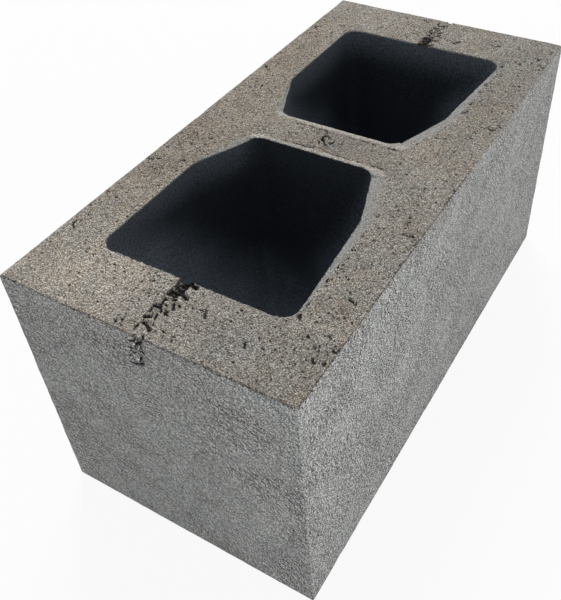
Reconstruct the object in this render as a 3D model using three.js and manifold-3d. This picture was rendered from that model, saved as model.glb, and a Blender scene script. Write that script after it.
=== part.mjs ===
// A hollow concrete block with two cores, cast in one piece.
// Millimetres, +Z up. X runs across the block and Y along it; the origin is the middle of its bed.
// It stands as it left the mould: the cores are widest at the top and taper towards the bed.
import * as THREE from "three";
import { mergeVertices } from "three/addons/utils/BufferGeometryUtils.js";
import Module from "manifold-3d";

const wasm = await Module();
wasm.setup();

// The block
const BLOCK_LENGTH = 390;
const BLOCK_WIDTH = 190;
const BLOCK_HEIGHT = 190;
const ARRIS_RADIUS = 1.5; // upright outer edges

// Walls, measured on top, where the cores are widest
const FACE_SHELL = 31;
const END_WEB = 45;
const CENTRE_WEB = 24;

// Each core narrows towards the centre web, so that the web flares into the face shells
const FLARE_LENGTH = 48;
const FLARE_INSET = 15.5;
const CORNER_RADIUS = 10;
const FLARE_RADIUS = 18; // where a flare meets the straight face shell

// The paste lip that the core former leaves round each mouth
const LIP_DEPTH = 1.2;
const LIP_HAIR = 0.4; // end web and -X face shell
const LIP_NARROW = 3.8; // centre web and -X flare
const LIP_WIDE = 7.5; // +X flare, fading out along the +X face shell

const CORE_DRAFT = 2.5; // what each core wall moves in between its lip and the bed

// The slot that the bar carrying the core formers leaves across the webs and down both ends
const BAR_WIDTH = 13;
const BAR_OFFSET = 1.4; // towards +X
const BAR_DEPTH = 1.5;
const BAR_MARK_HEIGHT = 26;
const BAR_MARK_DEPTH = 0.8;

const OVERRUN = 5; // how far a cutter passes the face it cuts
const ARC_STEPS = 6;

// A closed outline through the corners, counterclockwise, each corner an arc of its own radius.
function roundedOutline(corners) {
  const path = new THREE.Path();
  corners.forEach(({ at, radius }, i) => {
    const toLast = corners.at(i - 1).at.clone().sub(at).normalize();
    const toNext = corners[(i + 1) % corners.length].at.clone().sub(at).normalize();
    const halfAngle = toLast.angleTo(toNext) / 2;
    const middle = toLast.clone().add(toNext).normalize();
    const centre = at.clone().addScaledVector(middle, radius / Math.sin(halfAngle));
    const tangent = radius / Math.tan(halfAngle);
    const from = at.clone().addScaledVector(toLast, tangent).sub(centre);
    const to = at.clone().addScaledVector(toNext, tangent).sub(centre);
    path.absarc(centre.x, centre.y, radius, from.angle(), to.angle(), false);
  });
  return path.getPoints(ARC_STEPS);
}

// A closed solid through level outlines of equal point counts, listed from the lowest up.
function loft(levels) {
  const count = levels[0].outline.length;
  const positions = levels.flatMap(({ z, outline }) => outline.flatMap(({ x, y }) => [x, y, z]));
  const index = [];
  for (let level = 0; level < levels.length - 1; level += 1) {
    for (let i = 0; i < count; i += 1) {
      const low = level * count + i;
      const lowNext = level * count + ((i + 1) % count);
      index.push(low, lowNext, lowNext + count);
      index.push(low, lowNext + count, low + count);
    }
  }
  const top = (levels.length - 1) * count;
  for (const [a, b, c] of THREE.ShapeUtils.triangulateShape(levels[0].outline, [])) {
    index.push(c, b, a);
  }
  for (const [a, b, c] of THREE.ShapeUtils.triangulateShape(levels.at(-1).outline, [])) {
    index.push(top + a, top + b, top + c);
  }
  const geometry = new THREE.BufferGeometry();
  geometry.setAttribute("position", new THREE.Float32BufferAttribute(positions, 3));
  geometry.setIndex(index);
  return geometry;
}

// A three.js geometry as a solid that can be cut.
function solidOf(geometry) {
  geometry.deleteAttribute("normal");
  geometry.deleteAttribute("uv");
  const merged = mergeVertices(geometry, 1e-4);
  return new wasm.Manifold(
    new wasm.Mesh({
      numProp: 3,
      vertProperties: merged.attributes.position.array,
      triVerts: new Uint32Array(merged.index.array),
    }),
  );
}

// A solid as a three.js geometry with flat faces.
function geometryOf(solid) {
  const { vertProperties, triVerts } = solid.getMesh();
  const shared = new THREE.BufferGeometry();
  shared.setAttribute("position", new THREE.BufferAttribute(vertProperties, 3));
  shared.setIndex(new THREE.BufferAttribute(triVerts, 1));
  const geometry = shared.toNonIndexed();
  geometry.computeVertexNormals();
  return geometry;
}

// The outer form: straight sides and square ends, with eased upright edges.
function outerForm() {
  const x = BLOCK_WIDTH / 2;
  const y = BLOCK_LENGTH / 2;
  const corners = [[x, -y], [x, y], [-x, y], [-x, -y]].map(([cornerX, cornerY]) => ({
    at: new THREE.Vector2(cornerX, cornerY),
    radius: ARRIS_RADIUS,
  }));
  const section = new THREE.Shape(roundedOutline(corners));
  return new THREE.ExtrudeGeometry(section, { depth: BLOCK_HEIGHT, bevelEnabled: false });
}

// Where a core's walls stand at one level. Each reach is measured from the middle of the block:
// across it at the end web, at the flare's start and at the centre web.
const mouthReach = BLOCK_WIDTH / 2 - FACE_SHELL;
const mouthNeck = mouthReach - FLARE_INSET;
const flareStart = CENTRE_WEB / 2 + FLARE_LENGTH;
const mouth = {
  webFace: CENTRE_WEB / 2,
  endFace: BLOCK_LENGTH / 2 - END_WEB,
  right: [mouthNeck, mouthReach, mouthReach],
  left: [mouthNeck, mouthReach, mouthReach],
};
const throat = {
  webFace: mouth.webFace + LIP_NARROW,
  endFace: mouth.endFace - LIP_HAIR,
  right: [mouthNeck - LIP_WIDE, mouthReach - LIP_WIDE, mouthReach - LIP_HAIR],
  left: [mouthNeck - LIP_NARROW, mouthReach - LIP_HAIR, mouthReach - LIP_HAIR],
};
const foot = {
  webFace: throat.webFace + CORE_DRAFT,
  endFace: throat.endFace - CORE_DRAFT,
  right: throat.right.map((reach) => reach - CORE_DRAFT),
  left: throat.left.map((reach) => reach - CORE_DRAFT),
};

// A core's outline at one level, on the +Y side of the centre web or mirrored to the -Y side.
function coreOutline({ webFace, endFace, right, left }, side) {
  const stations = [webFace, flareStart, endFace];
  const radii = [CORNER_RADIUS, FLARE_RADIUS, CORNER_RADIUS];
  const rightWall = stations.map((y, i) => ({
    at: new THREE.Vector2(right[i], y),
    radius: radii[i],
  }));
  const leftWall = stations.map((y, i) => ({
    at: new THREE.Vector2(-left[i], y),
    radius: radii[i],
  }));
  const outline = roundedOutline([...rightWall, ...leftWall.reverse()]);
  if (side > 0) return outline;
  return outline.map(({ x, y }) => new THREE.Vector2(x, -y)).reverse();
}

// The space of one core: drafted walls, the lip, and a straight run out past both faces.
function coreSpace(side) {
  return loft([
    { z: -OVERRUN, outline: coreOutline(foot, side) },
    { z: 0, outline: coreOutline(foot, side) },
    { z: BLOCK_HEIGHT - LIP_DEPTH, outline: coreOutline(throat, side) },
    { z: BLOCK_HEIGHT, outline: coreOutline(mouth, side) },
    { z: BLOCK_HEIGHT + OVERRUN, outline: coreOutline(mouth, side) },
  ]);
}

// The core bar's slot along the top of all three webs.
function barSlot() {
  const cutter = new THREE.BoxGeometry(BAR_WIDTH, BLOCK_LENGTH + 2 * OVERRUN, 2 * BAR_DEPTH);
  return cutter.translate(BAR_OFFSET, 0, BLOCK_HEIGHT);
}

// The shallow mark that the bar's seat leaves at the top of one end.
function barMark(side) {
  const cutter = new THREE.BoxGeometry(BAR_WIDTH, 2 * BAR_MARK_DEPTH, 2 * BAR_MARK_HEIGHT);
  return cutter.translate(BAR_OFFSET, (side * BLOCK_LENGTH) / 2, BLOCK_HEIGHT);
}

function castBlock() {
  const cutters = [coreSpace(1), coreSpace(-1), barSlot(), barMark(1), barMark(-1)];
  return cutters.reduce((solid, cutter) => solid.subtract(solidOf(cutter)), solidOf(outerForm()));
}

const concrete = new THREE.MeshStandardMaterial({
  name: "vibrated_dry_cast_concrete",
  color: 0x8c8983,
  roughness: 0.95,
  metalness: 0,
});

const hollowBlock = new THREE.Mesh(geometryOf(castBlock()), concrete);
hollowBlock.name = "hollow_block";

const block = new THREE.Group();
block.add(hollowBlock);

export default block;
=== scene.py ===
# %% [markdown]
# # A hollow concrete block
#
# This lesson dresses one hollow masonry block: a single piece of dry-cast concrete with two cores.
# Such a block is made in seconds. A mix that is only just damp is vibrated into a steel mould,
# struck off level and pressed down, and the mould is drawn away at once. That leaves three
# different surfaces on one piece, and they are what the eye reads as "concrete block":
#
# - the struck top is open, sandy and warm in colour, with pits between the grains;
# - the outer faces slid along the mould and are cooler, closed and finely crumbed;
# - the core walls are smoother, and painted shade darkens their colour where no light reaches far down
#   them.
#
# The shape and its outer sizes come from the imported frame, so nothing has to be fitted afterwards.
# Blender counts in metres. Sizes are written in millimetres, as so many MM, and names that end in
# _MM hold plain millimetres.

# %% Load the frame
import math
from collections import Counter

import bmesh
import bpy
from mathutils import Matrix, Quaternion, Vector, noise


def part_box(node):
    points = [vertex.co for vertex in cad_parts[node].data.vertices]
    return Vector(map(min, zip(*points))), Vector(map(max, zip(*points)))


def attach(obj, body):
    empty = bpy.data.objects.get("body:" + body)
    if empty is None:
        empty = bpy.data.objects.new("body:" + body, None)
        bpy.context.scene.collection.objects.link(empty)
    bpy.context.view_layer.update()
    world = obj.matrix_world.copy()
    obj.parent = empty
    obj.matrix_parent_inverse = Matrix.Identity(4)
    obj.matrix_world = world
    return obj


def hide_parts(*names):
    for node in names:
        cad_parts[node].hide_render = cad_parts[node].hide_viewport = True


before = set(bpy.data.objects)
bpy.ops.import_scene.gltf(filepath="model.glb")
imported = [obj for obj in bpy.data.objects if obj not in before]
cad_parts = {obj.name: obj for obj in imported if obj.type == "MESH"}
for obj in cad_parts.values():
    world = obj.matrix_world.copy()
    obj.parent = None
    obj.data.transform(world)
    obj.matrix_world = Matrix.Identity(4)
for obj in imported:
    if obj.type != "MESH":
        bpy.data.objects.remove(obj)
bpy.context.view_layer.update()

MM = 0.001
block_low, block_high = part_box("hollow_block")
block_size = block_high - block_low
print("block, mm:", [round(side / MM, 1) for side in block_size])

# %% [markdown]
# ## The camera
#
# The block is seen from the front right and from well above, close enough for its far end to look
# smaller. The camera is placed by where it stands and where it looks, then rolled a little. A small
# lens shift keeps the block whole in an upright frame, as sliding a view camera's film back would.

# %% Camera
EYE = Vector((0.2202, -0.3739, 0.4751))
AIM = Vector((-0.0006, -0.0222, 0.0951))
ROLL_DEGREES = -2.87
SENSOR_MM = 36
LENS_MM = 47.2
SHIFT = (-0.057, -0.052)

camera = bpy.data.objects.new("camera", bpy.data.cameras.new("camera"))
bpy.context.scene.collection.objects.link(camera)
camera.location = EYE
camera.rotation_mode = "QUATERNION"
roll = Quaternion((0, 0, 1), math.radians(ROLL_DEGREES))
camera.rotation_quaternion = (AIM - EYE).to_track_quat("-Z", "Y") @ roll
camera.data.sensor_width = SENSOR_MM
camera.data.lens = LENS_MM
camera.data.shift_x, camera.data.shift_y = SHIFT
bpy.context.scene.camera = camera
bpy.context.scene.view_settings.view_transform = "Standard"
print("camera stands", round((AIM - EYE).length, 3), "m from the block")

# %% [markdown]
# ## Colours and nodes
#
# Colours are written as the hex values that a screen shows, and one function turns them into the
# linear values that Blender mixes. One more function adds a shader node, sets it and links it.
# Names in small letters are the node's own settings. The others, and the numbers, are its input
# sockets. A Mix node numbers its sockets by what it mixes, so those of its colours get names here,
# and so do its two most common settings: blending two colours and multiplying them.

# %% Two helpers for materials
SHARE, FIRST, SECOND, MIXED = 0, 6, 7, 2
BLEND = {"data_type": "RGBA"}
TIMES = {"data_type": "RGBA", "blend_type": "MULTIPLY", SHARE: 1.0}


def linear(hex_colour):
    """An sRGB colour such as "#8c8a85" as linear red, green, blue and alpha."""
    channels = [int(hex_colour[i:i + 2], 16) / 255 for i in (1, 3, 5)]
    bright = [((c + 0.055) / 1.055) ** 2.4 if c > 0.04045 else c / 12.92 for c in channels]
    return (*bright, 1.0)


def add(tree, kind, settings=None, links=None):
    """A new node of a kind, with settings by name and inputs linked from sockets."""
    node = tree.nodes.new(kind)
    for name, value in (settings or {}).items():
        if isinstance(name, str) and name[0].islower():
            setattr(node, name, value)
        else:
            node.inputs[name].default_value = linear(value) if isinstance(value, str) else value
    for name, socket in (links or {}).items():
        tree.links.new(socket, node.inputs[name])
    return node


print("mid grey in linear light:", [round(c, 3) for c in linear("#808080")[:3]])

# %% [markdown]
# ## Light
#
# In a studio the block would stand on a white sweep under a big soft lamp. Here that is an even
# white world at a low level and a broad lamp high behind the left edge. It rakes over the struck
# top, so that its grains cast tiny shadows, and it only reaches the core walls that face away from
# the camera, so the cores look as deep as they are. A small lamp stands on the right, half as high
# as the block. It lights the two faces that the camera sees and never looks down into the cores.

# %% World and lamps
WORLD_LEVEL = 0.42
WORLD_COLOUR = "#fbfcff"
WHITE = "#ffffff"


def lamp(name, azimuth, elevation, distance, size, level):
    """A square lamp aimed at the block. At level 1, a face square to it renders as its colour."""
    turn, rise = math.radians(azimuth), math.radians(elevation)
    away = Vector((math.sin(turn) * math.cos(rise), -math.cos(turn) * math.cos(rise), math.sin(rise)))
    data = bpy.data.lights.new(name, "AREA")
    data.size = size
    data.energy = level * (math.pi * distance) ** 2
    lamp_object = bpy.data.objects.new(name, data)
    bpy.context.scene.collection.objects.link(lamp_object)
    lamp_object.location = Vector((0, 0, block_size.z / 2)) + away * distance
    lamp_object.rotation_mode = "QUATERNION"
    lamp_object.rotation_quaternion = away.to_track_quat("Z", "Y")
    lamp_object.visible_camera = False


lamp("raking_top_lamp", azimuth=215, elevation=50, distance=6.0, size=2.4, level=0.8)
lamp("low_side_lamp", azimuth=62, elevation=0, distance=4.0, size=0.18, level=0.75)

world = bpy.data.worlds.new("white_studio")
world.use_nodes = True
sky = world.node_tree
sky.nodes.clear()
rays = add(sky, "ShaderNodeLightPath")
dim = add(sky, "ShaderNodeBackground", {"Color": WORLD_COLOUR, "Strength": WORLD_LEVEL})
white = add(sky, "ShaderNodeBackground", {"Color": WHITE, "Strength": 1.0})
sweep = add(sky, "ShaderNodeMixShader", links={
    0: rays.outputs["Is Camera Ray"], 1: dim.outputs[0], 2: white.outputs[0]})
add(sky, "ShaderNodeOutputWorld", links={"Surface": sweep.outputs[0]})
bpy.context.scene.world = world

# %% [markdown]
# ## Floor
#
# The floor is matt white. To the camera it is mostly plain white, so it runs into the background,
# and the rest of it is an ordinary surface that still takes the block's shadow. It lies a hair below
# the block, so that the two never share a plane.

# %% Floor
FLOOR_SIDE = 6.0
FLOOR_GAP = 0.2 * MM
FLOOR_WHITE = "#e4e4e2"
PLAIN_WHITE_SHARE = 0.92

bpy.ops.mesh.primitive_plane_add(size=FLOOR_SIDE, location=(0, 0, block_low.z - FLOOR_GAP))
floor = bpy.context.active_object
floor.name = "floor"
paint = bpy.data.materials.new("matt_white_floor")
paint.use_nodes = True
coat = paint.node_tree
coat.nodes.clear()
rays = add(coat, "ShaderNodeLightPath")
share = add(coat, "ShaderNodeMath", {"operation": "MULTIPLY", 1: PLAIN_WHITE_SHARE}, {
    0: rays.outputs["Is Camera Ray"]})
matt = add(coat, "ShaderNodeBsdfDiffuse", {"Color": FLOOR_WHITE})
glow = add(coat, "ShaderNodeEmission", {"Color": WHITE, "Strength": 1.0})
mixed = add(coat, "ShaderNodeMixShader", links={
    0: share.outputs[0], 1: matt.outputs[0], 2: glow.outputs[0]})
add(coat, "ShaderNodeOutputMaterial", links={"Surface": mixed.outputs[0]})
floor.data.materials.append(paint)
print("floor:", FLOOR_SIDE, "m square")

# %% [markdown]
# ## A mesh fine enough to be rough
#
# The frame's block is exact, but its flat faces are a few large triangles with nothing to push in
# and out. A remesh would make them fine and would round off the crisp lips too. So the exact faces
# stay: those that lie in one plane are joined, and later steps cut them up by planes.

# %% Copy the block and join its flat faces
WELD = 0.01 * MM
ON_PLANE = 1e-6
FLAT_ANGLE = math.radians(0.5)

cast = bmesh.new()
cast.from_mesh(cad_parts["hollow_block"].data)


def join_flat_faces(weld):
    """Merges corners closer together than this and joins faces that lie in one plane."""
    bmesh.ops.remove_doubles(cast, verts=cast.verts, dist=weld)
    bmesh.ops.dissolve_limit(cast, angle_limit=FLAT_ANGLE, verts=cast.verts, edges=cast.edges)


def edges_of(faces):
    """The edges of some faces, each once and always in the same order, which a set doesn't keep."""
    return list(dict.fromkeys(edge for face in faces for edge in face.edges))


def cut(faces, point, across):
    """Cuts some faces by the plane through a point, square to a direction."""
    corners = dict.fromkeys(corner for face in faces for corner in face.verts)
    bmesh.ops.bisect_plane(cast, geom=[*faces, *edges_of(faces), *corners], dist=ON_PLANE,
                           plane_co=point, plane_no=across)


join_flat_faces(WELD)
print("block as flat faces:", len(cast.faces))

# %% [markdown]
# A steel bar carried the core formers and crossed the top from end to end. The frame shows the strip
# below it as an even recess, which is its average depth. On the real block the grains there stand
# nearly level with the rest and the depth is in the holes between them. So the recess is filled
# first, and the holes are cut later, one by one. Between a web and a core's lip the recess is filled
# up to the lip only.

# %% Fill the recess below the bar
RIGHT_EDGE_MM, NEAR_EDGE_MM = round(block_high.x / MM), round(block_high.y / MM)
END_WEB_MM = 45
CENTRE_WEB_MM = 24
END_WEB_LINE = (NEAR_EDGE_MM - END_WEB_MM) * MM
CENTRE_WEB_LINE = CENTRE_WEB_MM / 2 * MM
LIP_DEPTH = 1.2 * MM
BAR_SLOT_DEPTH = 1.5 * MM
BAR_MIDDLE = 1.4 * MM
BAR_HALF = 6.5 * MM
MARK_HEIGHT = 26 * MM
MARK_DEPTH = 0.8 * MM
TOUCH = 0.02 * MM

for line in (END_WEB_LINE, CENTRE_WEB_LINE):
    for side in (-1, 1):
        cut(cast.faces[:], Vector((0, side * line, 0)), Vector((0, 1, 0)))
filled_in = 0
for vertex in cast.verts:
    below_top = block_high.z - vertex.co.z
    if abs(vertex.co.x - BAR_MIDDLE) > BAR_HALF + TOUCH or below_top > MARK_HEIGHT + TOUCH:
        continue
    along = abs(vertex.co.y)
    if below_top < BAR_SLOT_DEPTH + TOUCH:
        on_web = along > END_WEB_LINE - TOUCH or along < CENTRE_WEB_LINE + TOUCH
        vertex.co.z = block_high.z - (0.0 if on_web else LIP_DEPTH)
    if block_high.y - along < MARK_DEPTH + TOUCH:
        vertex.co.y = math.copysign(block_high.y, vertex.co.y)
    filled_in += 1
join_flat_faces(TOUCH)
print("corners of the recess moved:", filled_in, "faces now:", len(cast.faces))

# %% [markdown]
# The mould left six kinds of surface, and each gets its own grid, relief and finish. They could be
# picked by hand, but a face says itself which kind it is: the underside faces down, the struck top
# lies at full height, a lip faces up just below it, and a wall well inside the outline is a core's.
# The kind is kept as the face's material slot, where every later step can read it.

# %% Tell the surfaces apart
STRUCK_TOP, END_FACE, LONG_FACE, CORE_WALL, MOUTH_LIP, BED = range(6)
FACES_DOWN, FACES_UP = -0.5, 0.2
CAST_ARRIS = 1.5 * MM


def surface_of(face):
    """Which of the block's surfaces a face belongs to."""
    middle = face.calc_center_median()
    below_top = block_high.z - middle.z
    if face.normal.z < FACES_DOWN:
        return BED
    if below_top < WELD:
        return STRUCK_TOP
    if below_top < LIP_DEPTH and face.normal.z > FACES_UP:
        return MOUTH_LIP
    outside = max(abs(middle.x) - block_high.x, abs(middle.y) - block_high.y)
    if outside < -CAST_ARRIS:
        return CORE_WALL
    return LONG_FACE if abs(face.normal.x) > abs(face.normal.y) else END_FACE


for face in cast.faces:
    face.material_index = surface_of(face)
print("faces of each surface:", dict(Counter(face.material_index for face in cast.faces)))

# %% [markdown]
# Now the block is sliced like a loaf: each kind of surface is cut by level planes at its own
# spacing. The struck top gets the finest grid, because its pits are small and close to the eye. The
# cores are in the dark and need the least. A last weld takes out the slivers that planes leave where
# they pass close to a corner.

# %% Slice each surface into a grid
GRID_MM = {STRUCK_TOP: 2.4, MOUTH_LIP: 3.2, END_FACE: 5.2, LONG_FACE: 5.2, CORE_WALL: 12.0, BED: 20.0}
SLIVER = 0.3 * MM


def slice_surface(surface, spacing):
    """Cuts every face of one surface by planes across X, Y and Z, this far apart in mm."""
    for axis in range(3):
        pieces = round(block_size[axis] / (spacing * MM))
        across = Vector([float(axis == i) for i in range(3)])
        for i in range(1, pieces):
            level = block_low[axis] + block_size[axis] * i / pieces
            crossed = []
            for face in cast.faces:
                if face.material_index == surface:
                    reach = [vertex.co[axis] for vertex in face.verts]
                    if min(reach) < level - ON_PLANE and max(reach) > level + ON_PLANE:
                        crossed.append(face)
            cut(crossed, across * level, across)


for surface, spacing in GRID_MM.items():
    slice_surface(surface, spacing)
bmesh.ops.remove_doubles(cast, verts=cast.verts, dist=SLIVER)
print("grid faces:", len(cast.faces))

# %% [markdown]
# Below the bar the mix was never packed tightly. It left holes of 1 to 3 mm across both end webs,
# down both ends and in the middle of the centre web, where hairline cracks run beside the lips too.
# Only there is the grid made finer, twice as fine on top and four times down the ends, to keep those
# holes crisp. Along the right and the near edge of the top the struck skin broke off in a groove less
# than a millimetre wide, and two extra cuts along each of those edges give it points to sink.

# %% A finer grid where the bar lay and along two edges
HALF_LENGTH_MM = block_size.y / 2 / MM
HEIGHT_MM = block_size.z / MM
BAR_MIDDLE_MM = BAR_MIDDLE / MM
MARK_HEIGHT_MM = MARK_HEIGHT / MM
BAR_REACH_MM = 9.0
CENTRE_REACH_MM = 6.0
SKIN_MM = 2.0
CRACK_MM = 10.8
CRACK_BAND_MM = 1.8
CRACK_REACH_MM = 46.0
GROOVE_CUTS_MM = (1.2, 0.6)
GROOVE_STRIP_MM = 3
CUTS_ON_TOP, CUTS_ON_END = 1, 3


def below_the_bar(place, spare=0.0):
    """True where the bar may have left holes or cracks. The place and the spare margin are in mm."""
    below = HEIGHT_MM - place.z
    if below > MARK_HEIGHT_MM + spare:
        return False
    across = abs(place.x - BAR_MIDDLE_MM)
    from_end = HALF_LENGTH_MM - abs(place.y)
    if below > SKIN_MM:
        return across < BAR_REACH_MM + SKIN_MM + spare and from_end < SKIN_MM
    if abs(abs(place.y) - CRACK_MM) < CRACK_BAND_MM + spare and abs(place.x) < CRACK_REACH_MM + spare:
        return True
    on_web = from_end < END_WEB_MM + spare or abs(place.y) < CENTRE_REACH_MM + spare
    return across < BAR_REACH_MM + spare and on_web


for out, far in ((Vector((1, 0, 0)), RIGHT_EDGE_MM), (Vector((0, -1, 0)), NEAR_EDGE_MM)):
    for inset in GROOVE_CUTS_MM:
        strip = [face for face in cast.faces if face.material_index == STRUCK_TOP
                 and face.calc_center_median().dot(out) > (far - GROOVE_STRIP_MM) * MM]
        cut(strip, out * (far - inset) * MM, out)
holed = [face for face in cast.faces if below_the_bar(face.calc_center_median() / MM)]
for cuts, on_end in ((CUTS_ON_TOP, False), (CUTS_ON_END, True)):
    faces = [face for face in holed if face.is_valid and (face.material_index == END_FACE) == on_end]
    bmesh.ops.subdivide_edges(cast, edges=edges_of(faces), cuts=cuts, use_grid_fill=True)
print("faces made finer:", len(holed), "faces now:", len(cast.faces))

# %% [markdown]
# The relief needs a grid twice as fine. Twice as many planes would be slow to cut, so a Subdivision
# Surface modifier of the simple kind halves every edge. It adds points and leaves the shape alone.

# %% Halve the grid and make it a mesh
coarse = bpy.data.meshes.new("coarse_grid")
cast.to_mesh(coarse)
cast.free()
carrier = bpy.data.objects.new("coarse_grid", coarse)
bpy.context.scene.collection.objects.link(carrier)
halving = carrier.modifiers.new("halve_each_edge", "SUBSURF")
halving.subdivision_type = "SIMPLE"
halving.levels = halving.render_levels = 1
evaluated = carrier.evaluated_get(bpy.context.evaluated_depsgraph_get())
skin = bpy.data.meshes.new_from_object(evaluated)
skin.name = "cast_block"
bpy.data.objects.remove(carrier)
bpy.data.meshes.remove(coarse)
print("vertices:", len(skin.vertices), "triangles:", sum(len(p.vertices) - 2 for p in skin.polygons))

# %% [markdown]
# ## Relief
#
# Every surface is worn or cast inwards from the mould's plane, so relief here only ever pushes a
# point into the block. Each surface has a small function that says how deep, in millimetres, and how
# much of that is an open cavity. The cavities are kept as an attribute of the mesh, because the
# material paints shade into them. Three helpers make the unevenness: an S curve,
# a smooth random height, and pits scattered one to a cell, of which a share is left out. Blender
# moves its vector noise by the clock unless it gets a seed. Here it gets one, so that the block comes
# out the same every time.

# %% Noise in millimetres
NOISE_SEED = 7
noise.seed_set(NOISE_SEED)
PIT_BEND = 0.9
SMALLEST_PIT = 0.55
PIT_SLOPE = 0.5
LUCK_SPREAD = 91.7


def smooth(value, low=0.0, high=1.0):
    """0 below low, 1 above high, and an S curve in between."""
    share = min(max((value - low) / (high - low), 0.0), 1.0)
    return share * share * (3 - 2 * share)


def ripple(place, wavelength, shift=0.0):
    """Smooth random height from about -1 to 1. Another shift gives another, unrelated ripple."""
    return 2.0 * noise.noise(place / wavelength + Vector((shift, -shift, 2 * shift)))


def pit(place, spacing, share, radius, shift=0.0):
    """How far into a scattered pit a place lies: 0 outside, 1 at the bottom."""
    bent = place + noise.noise_vector(place / radius) * radius * PIT_BEND
    distances, centres = noise.voronoi(bent / spacing + Vector((shift, shift, -shift)))
    luck = 0.5 + 0.5 * noise.cell(centres[0] * LUCK_SPREAD)
    if luck > share:
        return 0.0
    size = radius * (SMALLEST_PIT + (1 - SMALLEST_PIT) * luck / share)
    return smooth(size - distances[0] * spacing, 0.0, PIT_SLOPE * size)


print("ripple at two places:", [round(ripple(Vector((x, 2, 3)), 5), 3) for x in (1, 9)])

# %% [markdown]
# Under the bar the holes are drawn one by one, as short worm-shaped strokes. Each has two ends and a
# radius. Noise alone would scatter the holes evenly, and it is the broken line of them that shows
# where the bar lay. Both halves of the block come from halves of one mould, so one list serves both
# ends.

# %% Where the bar left holes
# Across the block, from its middle towards an end, twice, and radius, in mm.
WEB_HOLES = [
    (-2.4, 150.6, 1.8, 151.0, 1.3), (3.4, 151.0, 6.6, 152.2, 1.3), (-1.0, 154.2, 1.6, 153.8, 1.0),
    (-2.6, 154.8, -2.5, 157.2, 0.7), (1.6, 154.6, 2.3, 159.6, 1.0), (-0.6, 157.2, 1.6, 157.8, 0.9),
    (-2.8, 160.4, 1.4, 160.2, 1.1), (4.4, 160.0, 7.2, 161.0, 1.2), (-4.6, 162.2, -3.2, 161.2, 0.7),
    (-3.4, 162.6, 1.0, 162.4, 0.9), (0.8, 164.8, 2.6, 164.2, 0.9), (6.7, 166.8, 7.4, 167.2, 0.8),
    (8.2, 163.0, 8.9, 163.4, 0.5), (-3.4, 166.2, -1.6, 166.4, 0.8), (-3.0, 166.6, -2.2, 170.8, 0.7),
    (-0.6, 169.2, 0.8, 170.0, 0.6), (3.2, 166.8, 5.5, 170.6, 0.8), (-4.8, 172.6, -1.4, 172.2, 1.1),
    (-1.4, 172.0, 0.9, 174.6, 0.8), (3.2, 174.8, 5.2, 175.2, 0.8), (2.2, 172.4, 4.2, 173.6, 0.6),
    (-5.0, 174.2, -4.4, 177.2, 0.6), (0.6, 177.0, 1.2, 180.2, 0.7), (-2.2, 177.4, -1.4, 179.6, 0.5),
    (-4.4, 181.6, -1.8, 180.0, 1.0), (2.4, 182.8, 3.4, 184.0, 0.5), (-2.6, 184.8, 1.4, 185.8, 0.8),
    (1.8, 186.4, 4.0, 188.0, 0.9), (-3.8, 187.0, -4.0, 190.4, 0.6), (3.4, 192.2, 5.0, 194.0, 0.6),
    (-17.0, 189.8, -15.4, 190.8, 0.9), (-14.4, 187.8, -13.2, 188.4, 0.8), (-12.4, 191.0, -11.4, 191.6, 0.7),
    (-13.0, 166.4, -12.8, 167.8, 0.6), (-12.2, 168.6, -11.6, 169.8, 0.5), (-20.4, 159.4, -18.4, 158.8, 0.5),
    (-17.6, 156.6, -16.6, 158.0, 0.4), (17.6, 164.2, 20.4, 163.2, 0.7), (20.8, 162.2, 21.4, 163.0, 0.7),
    (21.6, 164.6, 23.6, 167.6, 0.7), (10.6, 185.4, 12.0, 185.8, 0.5), (18.0, 188.0, 18.4, 188.4, 0.7),
    (10.4, 166.4, 10.8, 167.6, 0.5), (13.4, 164.8, 14.4, 165.0, 0.4),
    (-18.6, 175.4, -17.4, 175.8, 0.4), (17.0, 174.8, 18.2, 176.8, 0.4), (-11.0, 163.2, -10.4, 163.6, 0.4),
]
# Across and along the centre web, twice, and radius, in mm.
CENTRE_HOLES = [
    (-4.6, 1.9, -3.0, 0.1, 1.1), (-3.0, 0.1, -0.2, -3.1, 0.6), (0.1, -3.5, 1.7, -3.6, 0.5),
    (2.6, -1.6, 3.7, 0.1, 0.8), (3.7, 0.1, 3.9, 2.7, 0.4), (-4.9, 3.1, -4.3, 5.9, 0.6),
    (-4.1, 6.1, -0.9, 4.7, 0.5), (-0.9, 4.6, -0.3, 2.5, 0.3), (-5.1, -1.9, -3.7, -4.1, 0.5),
    (-28.8, 9.8, -28.2, 9.6, 0.6), (-19.6, 5.2, -18.4, 5.4, 0.6), (-11.2, 5.8, -10.0, 5.6, 0.6),
    (-27.4, -2.6, -26.8, -2.4, 0.8), (-23.4, -0.8, -22.8, -0.6, 0.6), (-10.2, -2.6, -9.4, -2.4, 0.6),
    (-34.8, 3.0, -34.2, 3.2, 0.4), (8.6, 0.6, 9.6, 0.8, 0.5), (44.0, -3.2, 44.8, -3.0, 0.5),
]
# The same for the hairline cracks beside the centre web's lips.
CRACKS = [
    (-26.8, 10.6, -23.4, 11.4, 0.6), (-20.0, 11.6, -17.0, 11.2, 0.35), (-15.5, 10.8, -12.0, 11.0, 0.5),
    (-12.0, 11.0, -7.0, 11.2, 0.5), (-7.0, 11.2, -5.3, 9.8, 0.4), (-5.3, 9.8, -5.2, 7.6, 0.35),
    (37.5, 11.0, 46.0, 11.0, 0.45), (28.0, 10.6, 29.6, 10.6, 0.5), (13.0, 11.2, 14.2, 11.2, 0.5),
    (8.0, 11.0, 12.0, 11.2, 0.3), (18.0, 11.4, 24.0, 11.0, 0.3),
]
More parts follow.
